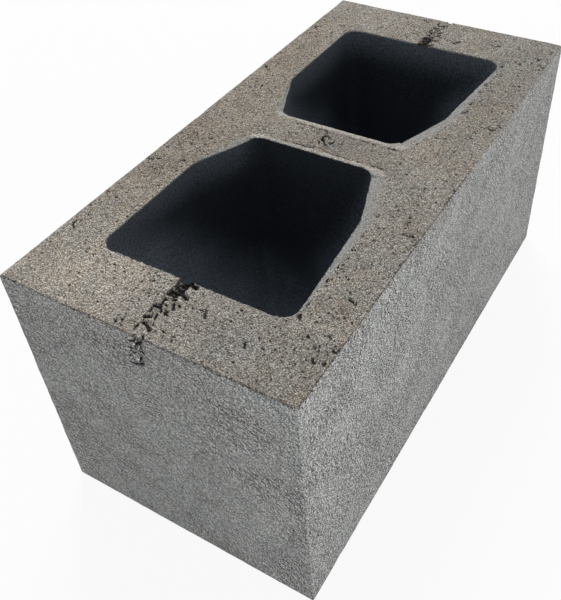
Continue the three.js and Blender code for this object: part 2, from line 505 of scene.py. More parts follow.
# Across an end and down from the top, twice, and radius, in mm.
END_HOLES = [
    (-3.2, 0.9, -1.2, 1.0, 0.8), (-1.6, 3.3, 0.4, 2.1, 0.85), (2.9, 0.4, 4.2, -0.4, 0.85),
    (-5.8, 6.5, -2.3, 5.6, 0.8), (-2.2, 5.5, -1.2, 7.8, 1.0), (-1.1, 7.3, 1.7, 4.9, 0.9),
    (1.5, 5.0, 4.5, 3.1, 0.9), (1.5, 6.8, 1.8, 8.6, 0.95), (-5.9, 11.8, -3.7, 11.0, 0.8),
    (-1.9, 9.6, -1.2, 11.2, 0.8), (-5.9, 14.2, -4.7, 14.2, 0.8), (-2.3, 13.6, -1.1, 14.0, 0.85),
    (-1.1, 14.0, 0.3, 15.2, 0.95), (-6.6, 18.0, -5.1, 19.3, 0.85), (-9.4, 20.7, -8.9, 21.2, 0.8),
    (-1.4, 18.8, 0.9, 16.8, 1.0), (-9.0, 24.6, -5.5, 23.5, 0.8), (-6.0, 23.8, -4.3, 23.9, 0.85),
    (-3.8, 23.6, -1.0, 22.3, 1.0), (-0.6, 22.3, 1.2, 20.1, 0.85), (2.5, 10.6, 2.9, 10.8, 0.8),
]
print("holes drawn:", len(WEB_HOLES), len(CENTRE_HOLES), len(CRACKS), len(END_HOLES))

# %% [markdown]
# A point lies in a stroke when it is nearer to the line between the two ends than the radius. An S
# curve softens that border and noise makes it ragged, so no hole looks drilled. The wider a hole is,
# the deeper it goes. Cracks are all equally shallow.

# %% Holes drawn as strokes
RAGGED_SHARE = 0.6
RAGGED_MM = 0.9
STROKE_REACH_MM = 3
BAR_SPREAD_MM = 17
TOP_BAND_MM = 2.2
CENTRE_BAND_MM = 18
END_BAND_MM = 1.0
CRACK_RADIUS_MM = 0.1
SHALLOWEST_MM = 0.5
DEPTH_PER_RADIUS = 1.3


def stroke(across, along, strokes, softness=0.3):
    """How far inside the deepest of some strokes a point lies, 0 to 1, and that stroke's radius."""
    point = Vector((across, along))
    ragged = RAGGED_SHARE * noise.noise(Vector((across, along, 0)) / RAGGED_MM)
    best = (0.0, 1.0)
    for x1, y1, x2, y2, radius in strokes:
        if not (min(y1, y2) - STROKE_REACH_MM < along < max(y1, y2) + STROKE_REACH_MM):
            continue
        start, run = Vector((x1, y1)), Vector((x2 - x1, y2 - y1))
        share = min(max((point - start).dot(run) / run.length_squared, 0.0), 1.0)
        away = (point - start - run * share).length
        inside = smooth(radius * (1 + ragged) - away, -softness, softness)
        best = max(best, (inside, radius))
    return best


def bar_holes(place):
    """Depth in mm and openness of the bar's holes."""
    if not below_the_bar(place, BAR_SPREAD_MM):
        return 0.0, 0.0
    below = HEIGHT_MM - place.z
    if below < TOP_BAND_MM and abs(place.y) < CENTRE_BAND_MM:
        cracked, _ = stroke(place.x, abs(place.y), CRACKS)
        inside, radius = max(stroke(place.x, place.y, CENTRE_HOLES), (cracked, CRACK_RADIUS_MM))
    elif below < TOP_BAND_MM and abs(place.y) < HALF_LENGTH_MM - END_BAND_MM:
        inside, radius = stroke(place.x, abs(place.y), WEB_HOLES)
    else:
        inside, radius = stroke(place.x, below, END_HOLES)
    return inside * (SHALLOWEST_MM + DEPTH_PER_RADIUS * radius), inside


print("depth in a web hole, mm:", round(bar_holes(Vector((3.4, -151, 190)))[0], 2))

# %% [markdown]
# On each end web the strip below the bar also sank, by a third of a millimetre: beside the core and
# along a sharp edge on its left. It is a plain step, so S curves across and along it make it. The
# shadow of the step is painted into the colour.

# %% The sunken strip
STRIP_EDGE_MM = -5.4
STRIP_WIDTH_MM = 12.0
STRIP_LENGTH_MM = 34.0
STRIP_STEP_MM = 0.35
EDGE_SINKS = 0.6


def bar_strip(place):
    """How far the top sank below the bar, 0 to 1: along a sharp left edge and beside the core."""
    from_core = abs(place.y) - (HALF_LENGTH_MM - END_WEB_MM)
    across = place.x - STRIP_EDGE_MM
    if not (-1 < from_core < STRIP_LENGTH_MM and 0 < across < STRIP_WIDTH_MM):
        return 0.0, 0.0
    beside_edge = EDGE_SINKS * smooth(across, 3, 1) * smooth(from_core, STRIP_LENGTH_MM, 26)
    beside_core = smooth(across, 10, 7.5) * smooth(from_core, 14, 10)
    return beside_edge, beside_core


print("strip on the left of the bar, 2 mm in:", bar_strip(Vector((STRIP_EDGE_MM + 2, -170, 190))))

# %% [markdown]
# The top was only struck off, so it stays open: sandy grains all over, scattered pits where stones
# pulled out, a handful of larger holes, and the grooves along two edges. Noise could place them all.
# But people know such a block by its larger holes, so those and the grooves are listed one by one, and
# noise adds the small pits, most of them in the patches that pitted badly.

# %% Larger holes, grooves and pitted patches of the top
# The larger holes: across the block, from its middle towards an end, twice, and radius, in mm.
TOP_HOLES = [
    (-91.0, 141.2, -87.2, 144.2, 0.6), (-90.8, 140.0, -90.0, 140.2, 0.6), (-88.0, 138.8, -88.2, 137.4, 0.5),
    (-88.4, 130.2, -87.6, 131.2, 0.7), (-90.0, 127.8, -89.6, 128.4, 0.5), (-84.0, 133.2, -81.0, 133.0, 0.4),
    (-93.8, 122.8, -93.0, 123.4, 0.8), (-66.2, 122.2, -65.8, 122.6, 0.5), (-82.8, 100.4, -82.0, 100.8, 0.5),
    (-77.0, 95.0, -76.2, 95.4, 0.5), (-77.4, 89.4, -76.8, 89.8, 0.5), (-84.2, 85.6, -81.8, 86.2, 0.4),
    (-81.8, 80.4, -81.2, 81.0, 0.5), (-86.0, 74.8, -85.2, 75.2, 0.5), (-79.0, 71.8, -77.4, 73.8, 0.4),
    (-92.6, 69.0, -90.6, 67.6, 1.0), (-88.6, 65.8, -86.6, 65.4, 0.8), (-73.4, 61.8, -72.6, 60.4, 0.5),
    (-72.6, 60.4, -70.2, 60.0, 0.5), (-85.4, 47.0, -84.6, 45.6, 0.7), (-78.2, 43.0, -78.8, 41.2, 0.6),
    (-85.4, 37.4, -84.6, 37.8, 0.6), (-70.0, 38.6, -69.0, 39.0, 0.7), (-80.2, 33.4, -79.4, 33.8, 0.5),
    (-84.4, 31.8, -84.0, 32.2, 0.6), (-71.2, 31.4, -70.2, 31.8, 0.7), (-91.2, 51.8, -90.6, 52.2, 0.6),
    (-73.2, 151.2, -71.0, 152.4, 0.6), (-66.2, 179.6, -65.4, 179.8, 0.6), (-52.0, 189.8, -51.4, 190.2, 0.7),
    (-45.0, 157.6, -43.0, 158.4, 0.5), (50.4, 171.6, 53.0, 175.0, 0.7), (60.2, 171.2, 61.8, 170.4, 0.7),
    (75.8, 153.2, 76.8, 153.6, 0.9), (74.8, 156.6, 75.2, 156.8, 0.5), (85.6, 165.4, 87.0, 167.6, 0.9),
    (82.6, 167.0, 83.0, 167.2, 0.5), (91.6, 165.4, 92.4, 165.8, 0.7), (89.2, 166.2, 89.6, 166.6, 0.5),
    (86.8, 162.8, 87.2, 163.2, 0.5), (82.6, 158.0, 83.0, 159.2, 0.8), (89.4, 157.8, 90.2, 158.6, 0.8),
    (91.6, 156.2, 92.8, 156.4, 0.9), (86.0, 151.4, 86.8, 149.6, 0.5), (84.4, 156.4, 84.8, 156.8, 0.5),
    (81.6, 121.2, 86.4, 122.4, 0.8), (80.6, 136.6, 81.0, 137.0, 0.6), (83.2, 131.8, 83.6, 132.2, 0.5),
    (64.8, 142.2, 66.2, 145.4, 0.7), (64.4, 136.0, 65.0, 133.0, 0.5), (70.2, 131.2, 70.6, 131.6, 0.6),
    (64.4, 113.6, 64.8, 115.2, 0.8), (64.2, 102.4, 65.2, 103.0, 0.9), (72.0, 107.2, 72.6, 107.6, 0.6),
    (73.2, 97.2, 73.6, 97.6, 0.5), (79.4, 91.2, 79.8, 91.6, 0.6), (69.8, 85.6, 70.2, 86.0, 0.5),
    (64.4, 84.4, 64.8, 87.6, 0.5), (64.6, 73.2, 65.6, 73.6, 0.8), (91.6, 71.4, 92.0, 71.8, 0.6),
    (92.6, 67.4, 93.6, 66.8, 0.7), (83.6, 61.0, 84.8, 61.4, 0.7), (87.4, 61.6, 89.6, 60.8, 0.9),
    (89.6, 60.8, 91.4, 63.2, 0.8), (90.2, 55.6, 90.6, 56.0, 0.6), (81.8, 52.4, 82.6, 52.8, 0.7),
    (80.4, 46.8, 81.8, 45.8, 0.7), (62.8, 53.6, 63.4, 54.2, 0.6),
]
# Grooves where the struck skin broke off along the mould, the same way. Their darkness is painted shade.
EDGE_GROOVES = [
    (94.4, -194.6, 94.4, -118.0, 0.35), (94.4, -118.0, 94.4, -62.0, 0.3), (94.4, -62.0, 94.4, 5.0, 0.25),
    (-94.0, -194.4, 94.4, -194.4, 0.25), (-90.0, -194.2, -84.0, -194.4, 0.4),
    (-81.0, -193.8, -78.0, -194.2, 0.35), (36.0, -194.2, 47.0, -194.4, 0.35),
    (80.0, -194.3, 94.4, -194.4, 0.32),
]
# Where the top is pitted: across the block, from its middle towards an end, and radius, in mm.
PITTED_PATCHES = [
    (-86, 45, 42), (-92, 140, 20), (88, 58, 22), (87, 155, 24), (62, 110, 14), (-20, 172, 26),
    (84, 100, 24), (82, 12, 24),
]
PITTED_EVERYWHERE = 0.25
PITTED_IN_PATCHES = 0.85
PITTED_FAR_END = 0.3


def pitted(place):
    """0 where the top closed well, 1 where it is pitted all over. The far end is pitted more."""
    patches = sum(math.exp(-((place.x - x) ** 2 + (abs(place.y) - y) ** 2) / radius ** 2)
                  for x, y, radius in PITTED_PATCHES)
    far = PITTED_FAR_END * smooth(place.y, 0, 190)
    return min(1.0, PITTED_EVERYWHERE + PITTED_IN_PATCHES * patches + far + 0.3 * ripple(place, 14, 4))


print("larger holes:", len(TOP_HOLES), "pitted patches:", len(PITTED_PATCHES))

# %% [markdown]
# All of it comes together in one depth: sandy grains, a slow swell that the strike-off bar left, and
# the deepest of the pits, grooves and larger holes at that point. The bar's holes and the sunken
# strip are added to that. The places of the larger holes are shaken first, so their edges crumble.

# %% Depth of the struck top
PIT_SPACING_MM = 6.5
PIT_RADIUS_MM = 1.3
PIT_SHARE = 0.3
HOLLOW_DEPTH_MM = 1.2
PIT_DEPTH, GROOVE_DEPTH, TOP_HOLE_DEPTH = 0.7, 0.55, 1.1
TOP_HOLES_FROM_MM = 35
HOLE_BEND_MM = 0.8
HOLE_BEND_SIZE_MM = 1.5
SAND_RELIEF_MM = 0.05
SWELL_MM = 0.12


def struck_top(place):
    """Depth in mm and openness of the struck top."""
    hollow = PIT_DEPTH * pit(place, PIT_SPACING_MM, PIT_SHARE * pitted(place), PIT_RADIUS_MM)
    hollow = max(hollow, GROOVE_DEPTH * stroke(place.x, place.y, EDGE_GROOVES)[0])
    if abs(place.x) > TOP_HOLES_FROM_MM:
        bent = place + HOLE_BEND_MM * noise.noise_vector(place / HOLE_BEND_SIZE_MM)
        hollow = max(hollow, TOP_HOLE_DEPTH * stroke(bent.x, abs(bent.y), TOP_HOLES, 0.5)[0])
    depth, void = bar_holes(place)
    sand = SAND_RELIEF_MM * (1 + ripple(place, 3.1)) + SWELL_MM * (1 + ripple(place, 31, 7))
    beside_edge, beside_core = bar_strip(place)
    depth += sand + HOLLOW_DEPTH_MM * hollow + STRIP_STEP_MM * max(beside_edge, beside_core)
    # The sunken strip also counts as partly open, which paints the shadow of its step.
    return depth, min(1.0, max(hollow, void) + 0.2 * beside_edge + 0.5 * beside_core)


deepest, opened = struck_top(Vector((-89, -142.7, 190)))
print("in the first hole:", round(deepest, 2), "mm deep, openness", round(opened, 2))

# %% [markdown]
# The outer faces are smoother. The steel pressed a skin of cement paste against the mix, and in
# patches the skin came off with the mould. Where it stayed it swells by a few hundredths of a
# millimetre. Where it tore, the face lies a little lower and has small holes. Ripples of two sizes
# decide where the skin tears, and a short list of patches holds the tears that catch the eye.

# %% Depth of a moulded face
# Where the skin of the faces tore or stayed whole: across, from the middle towards an end, down from
# the top, radius and how far it tore.
TORN_PATCHES = [
    (80, 195, 165, 24, 0.9), (64, 195, 82, 9, 0.8), (-56, 195, 45, 14, 0.6), (56, 195, 112, 20, -0.9),
    (-45, 195, 8, 14, -0.6), (35, 195, 150, 20, -0.5), (-70, 195, 98, 14, 0.5), (93, 195, 85, 16, 0.6),
    (95, 184, 38, 10, 1.2), (95, 180, 66, 8, 1.2), (95, 188, 122, 14, 1.0), (95, 168, 150, 12, 1.0),
    (95, 120, 135, 24, 0.5), (95, 176, 12, 12, -0.5), (22, 195, 14, 24, -0.7), (-80, 195, 135, 36, 0.5),
]
LONG_FACES_TORN = 0.25
FACE_SWELL_MM = 0.08
TORN_DEPTH_MM = 0.2
FACE_PIT_SPACING_MM = 9.0
FACE_PIT_RADIUS_MM = 1.4
FACE_PIT_DEPTH_MM = 0.6
FACE_PIT_SHARE, TORN_PIT_SHARE = 0.06, 0.16
UPRIGHT_SHARE = 0.8


def broken_skin(place):
    """0 where a moulded face kept its closed skin of paste, 1 where it came off with the mould."""
    on_end = HALF_LENGTH_MM - abs(place.y) < SKIN_MM
    torn = 0.6 * ripple(place, 26, 3) + 0.4 * ripple(place, 11, 4) + (0.0 if on_end else LONG_FACES_TORN)
    point = Vector((place.x, abs(place.y), HEIGHT_MM - place.z))
    for x, y, below, radius, tear in TORN_PATCHES:
        torn += tear * math.exp(-(point - Vector((x, y, below))).length_squared / radius ** 2)
    return smooth(torn, -0.3, 0.9)


def moulded_face(place):
    """Depth in mm and openness of an outer face."""
    drawn_up = Vector((place.x, place.y, UPRIGHT_SHARE * place.z))
    swell = ripple(drawn_up, 12, 1) + 0.5 * ripple(drawn_up, 6, 2)
    broken = broken_skin(place)
    pit_share = FACE_PIT_SHARE + TORN_PIT_SHARE * broken
    hollow = pit(place, FACE_PIT_SPACING_MM, pit_share, FACE_PIT_RADIUS_MM, 6.0)
    depth, void = bar_holes(place)
    skin_depth = FACE_SWELL_MM * (1 + swell) + TORN_DEPTH_MM * broken * (0.6 + 0.4 * ripple(place, 5, 8))
    return skin_depth + FACE_PIT_DEPTH_MM * hollow + depth, max(0.5 * hollow, void)


print("skin torn at mid height of the near end:", round(broken_skin(Vector((0, -195, 95))), 2))

# %% [markdown]
# The other surfaces only waver, by a fifth of a millimetre at most and over a centimetre or more: the
# core walls, the paste lips and the underside. One table then says which function belongs to which
# surface.

# %% Depth of the other surfaces
CORE_SWELL_MM = 0.2
LIP_SWELL_MM = 0.06
BED_SWELL_MM = 0.1
STRIP_BESIDE_LIP = 0.8


def core_wall(place):
    """Depth in mm and openness of a core's wall."""
    return CORE_SWELL_MM * (1 + ripple(place, 16, 9)), 0.0


def mouth_lip(place):
    """Depth in mm and openness of the paste lip round a core's mouth."""
    depth, void = bar_holes(place)
    # Beside the core the sunken strip counts as open, which paints the shadow of its step.
    strip_shadow = STRIP_BESIDE_LIP * bar_strip(place)[1]
    return LIP_SWELL_MM * (1 + ripple(place, 9, 2)) + depth, max(void, strip_shadow)


def bed(place):
    """Depth in mm and openness of the underside."""
    return BED_SWELL_MM * (1 + ripple(place, 40, 2)), 0.0


FINISH_DEPTH = {STRUCK_TOP: struck_top, END_FACE: moulded_face, LONG_FACE: moulded_face,
                CORE_WALL: core_wall, MOUTH_LIP: mouth_lip, BED: bed}
print("finishes with relief:", [finish.__name__ for finish in FINISH_DEPTH.values()])

# %% [markdown]
# Nothing keeps a corner of fresh concrete sharp. Each outer edge is rounded by a radius that wanders
# along it, with a chip where it grows quickly. A Bevel modifier can't do that, because its width is
# the same all along. So a point near an edge is moved on to the rounding, in the way that a rounded
# box is measured: pull in the corner's centre, then step out by a radius. The upright edges left the
# mould with an easing of their own. Their points are moved first, and then they wear like the rest.

# %% Worn edges
CAST_ARRIS_MM = CAST_ARRIS / MM
HAIR_MM = 0.01
WEAR_MM = 0.4
WEAR_WANDERS_MM = 0.15
LEAST_WEAR_MM = 0.3
CHIP_MM = 0.5


def edge_radius(place):
    """Rounding of the outer edges near a place, in mm."""
    wear = WEAR_MM + WEAR_WANDERS_MM * ripple(place, 9, 3)
    chip = CHIP_MM * smooth(ripple(place, 13, 5), 0.75, 1.15)
    return max(LEAST_WEAR_MM, wear) + chip


def worn(place):
    """The place moved on to the rounding of the nearest outer edge."""
    half = block_size / 2 / MM
    centred = place - Vector((0, 0, half.z))
    radius = edge_radius(place)
    arris = Vector([max(abs(c) - (h - CAST_ARRIS_MM) + HAIR_MM, 0.0) for c, h in zip(centred.xy, half.xy)])
    if min(arris) > 0:
        arris *= radius / arris.length
        centred.xy = [math.copysign(h - radius + a, c) for c, h, a in zip(centred.xy, half.xy, arris)]
        place = centred + Vector((0, 0, half.z))
    beyond = Vector([max(abs(c) - (h - radius), 0.0) for c, h in zip(centred, half)])
    if sum(b > 0 for b in beyond) < 2:
        return place
    beyond *= radius / beyond.length
    inner = [min(abs(c), h - radius) + b for c, h, b in zip(centred, half, beyond)]
    rounded = Vector([math.copysign(i, c) for i, c in zip(inner, centred)])
    return rounded + Vector((0, 0, half.z))


print("rounding at mid height of a corner, mm:", round(edge_radius(Vector((95, -195, 95))), 2))

# %% [markdown]
# The rims of the cores crumbled as the formers left: most by the end webs and below the bar, least
# by the centre web, where the lip stayed whole and almost level with the top. Noise shakes the
# points near a rim by a fraction of a millimetre, and less with depth, so the wall stays true.

# %% Crumbled rims
LIP_RAISED_MM = 1.1
RIM_DEPTH_MM = 6.0
RIM_CRUMB_MM = 1.6
WEB_LIP_REACH_MM = 20
CORE_SIDE_MM = 75
CORE_ENDS_MM = (10, 153)
SHAKE_BY_CENTRE_WEB = 0.12
SHAKE_MM, SHAKE_BY_END_WEB, SHAKE_BELOW_BAR = 0.4, 0.5, 0.4


def ragged_mouth(place):
    """The place moved by a fraction of a mm close to the rim of a core."""
    below = HEIGHT_MM - place.z
    near_core = abs(place.x) < CORE_SIDE_MM and CORE_ENDS_MM[0] < abs(place.y) < CORE_ENDS_MM[1]
    if below > RIM_DEPTH_MM or not near_core:
        return place
    by_centre_web = abs(place.y) < WEB_LIP_REACH_MM
    below_bar = smooth(14 - abs(place.x - BAR_MIDDLE_MM), 0, 4)
    by_end_web = smooth(abs(place.y), 143, 148)
    loose = SHAKE_MM + SHAKE_BY_END_WEB * by_end_web + SHAKE_BELOW_BAR * below_bar
    strength = SHAKE_BY_CENTRE_WEB if by_centre_web else loose
    shake = noise.noise_vector(place / RIM_CRUMB_MM) * (strength * smooth(RIM_DEPTH_MM - below, 0, 4))
    rise = min(below, LIP_RAISED_MM) if by_centre_web else 0.0
    return place + Vector((shake.x, shake.y, rise))


print("lips by the centre web lie", round(LIP_DEPTH / MM - LIP_RAISED_MM, 1), "mm below the top")

# %% [markdown]
# Now every point is moved. A Displace modifier could push it by a texture, but the depth comes from
# the functions above, so a plain loop does it: on to the crumbled rim and the worn edge first, then
# inwards along the point's normal. A point where surfaces meet takes the average of their depths. No
# point leaves the block's own box. The rims also count as partly open, so painted shade darkens their
# crumbs.

# %% Push the relief into the mesh
RIM_PAINTED_SHADE = 0.6

surfaces_at = [set() for _ in skin.vertices]
for polygon in skin.polygons:
    for index in polygon.vertices:
        surfaces_at[index].add(polygon.material_index)

openness = []
moved = []
low, high = block_low / MM, block_high / MM
for vertex, surfaces in zip(skin.vertices, surfaces_at):
    place = worn(ragged_mouth(vertex.co / MM))
    depths = [FINISH_DEPTH[surface](place) for surface in surfaces]
    depth = sum(d for d, _ in depths) / len(depths)
    crumbled_rim = CORE_WALL in surfaces and len(surfaces) > 1 and abs(place.y) > WEB_LIP_REACH_MM
    openness.append(max(RIM_PAINTED_SHADE * crumbled_rim, *(o for _, o in depths)))
    place = place - vertex.normal * depth
    moved.append(Vector([min(max(c, l), h) for c, l, h in zip(place, low, high)]) * MM)
skin.vertices.foreach_set("co", [c for point in moved for c in point])
skin.update()
print("open share of the vertices:", round(sum(openness) / len(openness), 4))

# %% [markdown]
# Five more numbers are kept at each point for the finishes: how much smooth paste covers the sand,
# how warm the tone is, how light it is, how much painted light a core wall takes and how pitted the top is.
# They could be painted by hand or come from textures. Worked out here, they follow the relief.
#
# - Paste was squeezed up against the formers and the mould, so it covers the lips and, where the
#   skin didn't tear, the moulded faces.
# - The tones wander over the block. Broad stains on the top are listed one by one. An end is
#   palest on its right and at its foot, a long face towards the near end, and torn skin is darker
#   than whole skin.
# - The core walls hold painted light and shade: they are painted paler at their rim, at their foot
#   and towards the near end and the right, and darkest in a slanting patch high on the other walls.

# %% Stains, painted core light and the tones of the faces
# Broad stains of the top: across and along the block, radius, warmth and lightness.
TOP_STAINS = [
    (-55, -165, 48, 0.0, 0.85), (-80, -60, 55, 0.4, -0.3), (-82, 90, 60, 0.5, -0.15),
    (45, -172, 32, -0.6, -0.15), (85, -178, 24, -0.1, -0.3), (82, -70, 60, -0.3, -0.15),
    (82, 70, 40, 0.0, -0.3), (80, 150, 50, -0.5, -0.3), (-70, 185, 40, -0.2, 0.2), (10, 0, 34, -0.1, -0.65),
]
# How the core walls are painted: paler near the rim, at the foot, towards the near end and the right.
RIM_PAINTED_LIGHT = 0.33
RIM_PAINTED_LIGHT_MM = 30
CORE_FAR_SIDE_MM = {-1: -CENTRE_WEB_MM / 2, 1: HALF_LENGTH_MM - END_WEB_MM}
LIGHT_ALONG, LIGHT_ACROSS = 1.05, 2.0
LIGHT_FROM_X_MM = -8
SHADE_TO_MM, LIGHT_FROM_MM = 85, 200
END_LEVEL, END_RIGHT_PALER, END_FOOT_PALER = 0.4, 0.42, 0.4
SIDE_LEVEL, SIDE_FAR_DARKER = 0.08, 0.15


def stains(place):
    """Warmth and lightness that the broad stains of the top give to a place."""
    warmth = lightness = 0.0
    for x, y, radius, warm, light in TOP_STAINS:
        share = math.exp(-((place.x - x) ** 2 + (place.y - y) ** 2) / radius ** 2)
        warmth += warm * share
        lightness += light * share
    return warmth, lightness


def core_painted_light(place):
    """0 where a core wall is painted dark with shade, 1 where it is painted fully lit."""
    below = HEIGHT_MM - place.z
    away_from_web = smooth(abs(place.y), CENTRE_WEB_MM / 2, 30)
    rim = RIM_PAINTED_LIGHT * smooth(RIM_PAINTED_LIGHT_MM - below, 0, RIM_PAINTED_LIGHT_MM) * away_from_web
    to_far_side = CORE_FAR_SIDE_MM[1 if place.y > 0 else -1] - place.y
    to_right = max(0.0, place.x - LIGHT_FROM_X_MM)
    from_shade = below + LIGHT_ALONG * to_far_side + LIGHT_ACROSS * to_right
    return max(rim, smooth(from_shade + 6 * ripple(place, 30, 2), SHADE_TO_MM, LIGHT_FROM_MM))


def end_tone(place):
    """Lightness of an end, palest to the right and at its foot."""
    right, foot = smooth(place.x, 10, 80), smooth(60 - place.z, 0, 60)
    return END_LEVEL + END_RIGHT_PALER * right + END_FOOT_PALER * foot


def side_tone(place):
    """Lightness of a long face, palest towards the near end."""
    return SIDE_LEVEL - SIDE_FAR_DARKER * smooth(place.y, -150, 20)


FACE_TONES = {END_FACE: end_tone, LONG_FACE: side_tone}
print("stains:", len(TOP_STAINS), "an end's right edge:", round(end_tone(Vector((90, -195, 95))), 2))

# %% [markdown]
# Each point takes its five numbers from the surface that it lies on. The lips come first, because
# their rims also touch the top and the walls. By the centre web a lip is paste with painted light on
# it, and elsewhere it is cool, with a little painted shade. Ripples of several sizes mottle all of it.
# The numbers are then stored in the mesh, with the openness from before, for the materials to read.

# %% Paste, warmth, lightness and painted core light
LIP_COVER, LIP_CRUMBS = 0.6, 0.4
LIP_WARMTH, WEB_LIP_WARMER = -0.7, 0.6
LIP_PAINTED_SHADE, WEB_LIP_PAINTED_LIGHT = 0.1, 0.9
TOP_DARKER, TORN_DARKER = 0.12, 0.1
END_MOTTLE, SIDE_MOTTLE = 0.7, 0.4

paste, warmth, lightness, core_light_shares, pits = [], [], [], [], []
for vertex, surfaces in zip(skin.vertices, surfaces_at):
    place = vertex.co / MM
    crumbs = ripple(place, 3.5, 2)
    core_light_shares.append(core_painted_light(place) if CORE_WALL in surfaces else 0.0)
    pits.append(pitted(place) if STRUCK_TOP in surfaces else 0.0)
    if MOUTH_LIP in surfaces:
        by_centre_web = smooth(WEB_LIP_REACH_MM - abs(place.y), 0, 5)
        from_web = smooth(abs(place.y), CENTRE_WEB_MM / 2, 13.5) if by_centre_web > 0.5 else 1.0
        paste.append(LIP_COVER * from_web + LIP_CRUMBS * crumbs)
        warmth.append(LIP_WARMTH + WEB_LIP_WARMER * by_centre_web)
        # Painted light on the lips by the centre web and a little painted shade on the others.
        pale = WEB_LIP_PAINTED_LIGHT * from_web + LIP_CRUMBS * crumbs
        lightness.append(pale * by_centre_web - LIP_PAINTED_SHADE * (1 - by_centre_web))
    elif STRUCK_TOP in surfaces:
        warm, light = stains(place)
        # The sunken strip is painted darker: painted shadow of its step.
        strip = max(bar_strip(place))
        paste.append(0.0)
        warmth.append(warm + 0.2 * ripple(place, 24, 3) + 0.3 * ripple(place, 6, 9))
        lightness.append((light - TOP_DARKER + 0.2 * ripple(place, 17, 5)) * (1 - strip) - strip)
    else:
        broken = broken_skin(place)
        tones = [FACE_TONES[surface](place) for surface in surfaces if surface in FACE_TONES]
        pale = sum(tones) / max(1, len(tones))
        mottled = 0.4 * ripple(place, 26, 3) + 0.5 * ripple(place, 7, 9)
        paste.append(1 - broken)
        warmth.append(mottled * (END_MOTTLE if END_FACE in surfaces else SIDE_MOTTLE))
        mottle = 0.1 * ripple(place, 45, 5) + 0.08 * ripple(place, 15, 6)
        lightness.append(pale - TORN_DARKER * broken + mottle)
for name, values in (("openness", openness), ("paste", paste), ("warmth", warmth), ("lightness", lightness),
                     ("core_painted_light", core_light_shares), ("pitted", pits)):
    skin.attributes.new(name, "FLOAT", "POINT").data.foreach_set("value", values)
    print(name, "mean:", round(sum(values) / len(values), 3))

# %% [markdown]
# ## Finishes
#
# All finishes are the same grey cement and sand, so they share a start: places in millimetres,
# measured from the block itself, so the grain stays put when the block moves, and a rough surface
# shader. Concrete is a dielectric with an index near 1.5 and no gloss at all, so the eye sees it as
# flat and dusty from every side.

# %% What every finish starts from
CONCRETE_IOR = 1.5
DUSTY_SPECULAR = 0.3


def blank_concrete(name, roughness, stretch=(1.0, 1.0, 1.0)):
    """A material with only its coordinates in mm and its shader. Returns material, places, shader."""
    material = bpy.data.materials.new(name)
    material.use_nodes = True
    tree = material.node_tree
    tree.nodes.clear()
    corner = add(tree, "ShaderNodeTexCoord")
    places = add(tree, "ShaderNodeMapping", {"Scale": [share / MM for share in stretch]}, {
        "Vector": corner.outputs["Object"]})
    shader = add(tree, "ShaderNodeBsdfPrincipled", {
        "Roughness": roughness, "IOR": CONCRETE_IOR, "Metallic": 0.0, "Specular IOR Level": DUSTY_SPECULAR})
    add(tree, "ShaderNodeOutputMaterial", links={"Surface": shader.outputs[0]})
    return material, places.outputs[0], shader


print("index of refraction:", CONCRETE_IOR)

# %% [markdown]
# ** Grains.** Each grain of sand has its own tone and a little hue of its own, with painted light on
# its middle and painted shade in the gaps between grains. A noise would blur grain into grain. A
# Voronoi pattern gives every cell a random colour and the distance from its middle: one channel picks
# the tone from a ramp, another picks the hue, and the distance paints the middles light and the gaps
# dark. Pits smaller than the mesh can hold, and the ragged edges of the holes that it does hold, are
# masks made from the same kinds of pattern, and shade is painted into them.

# %% Grains, specks and holes
GRAIN_MIDDLE, GRAIN_GAP = 0.2, 0.75
PAINTED_TIP_LIGHT, PAINTED_GAP_SHADE = 1.45, 0.5
SPOT_WOBBLE = 0.8
SPOT_EDGE = 4
HOLE_CRUMBS_PER_MM = 1.2
HOLE_RAGGED = 1.3
HOLE_OPENS, HOLE_OPEN = 1.0, 1.35


def grains(tree, places, size, colours):
    """Grains of one size in mm, each with a tone, painted light in its middle and painted shade at its
    gaps. Returns the colour and the cells.
    """
    cells = add(tree, "ShaderNodeTexVoronoi", {"Scale": 1 / size}, {"Vector": places})
    luck = add(tree, "ShaderNodeSeparateColor", links={"Color": cells.outputs["Color"]})
    tones = add(tree, "ShaderNodeValToRGB", links={"Fac": luck.outputs[0]})
    ramp = tones.color_ramp
    ramp.elements[0].color = linear(colours[0])
    ramp.elements[1].color = linear(colours[-1])
    for i, colour in enumerate(colours[1:-1], start=1):
        ramp.elements.new(i / (len(colours) - 1)).color = linear(colour)
    hue = add(tree, "ShaderNodeMix", {**BLEND, FIRST: "#feffff", SECOND: "#fffefd"}, {
        SHARE: luck.outputs[1]})
    # The distance paints each grain's middle light and the gaps between grains dark: painted light and
    # painted shade.
    tip_light_gap_shade = add(tree, "ShaderNodeMapRange", {
        "From Min": GRAIN_MIDDLE, "From Max": GRAIN_GAP, "To Min": PAINTED_TIP_LIGHT, "To Max": PAINTED_GAP_SHADE}, {
        "Value": cells.outputs["Distance"]})
    hued = add(tree, "ShaderNodeMix", TIMES, {FIRST: tones.outputs["Color"], SECOND: hue.outputs[MIXED]})
    grain = add(tree, "ShaderNodeMix", TIMES, {FIRST: hued.outputs[MIXED], SECOND: tip_light_gap_shade.outputs[0]})
    return grain.outputs[MIXED], cells


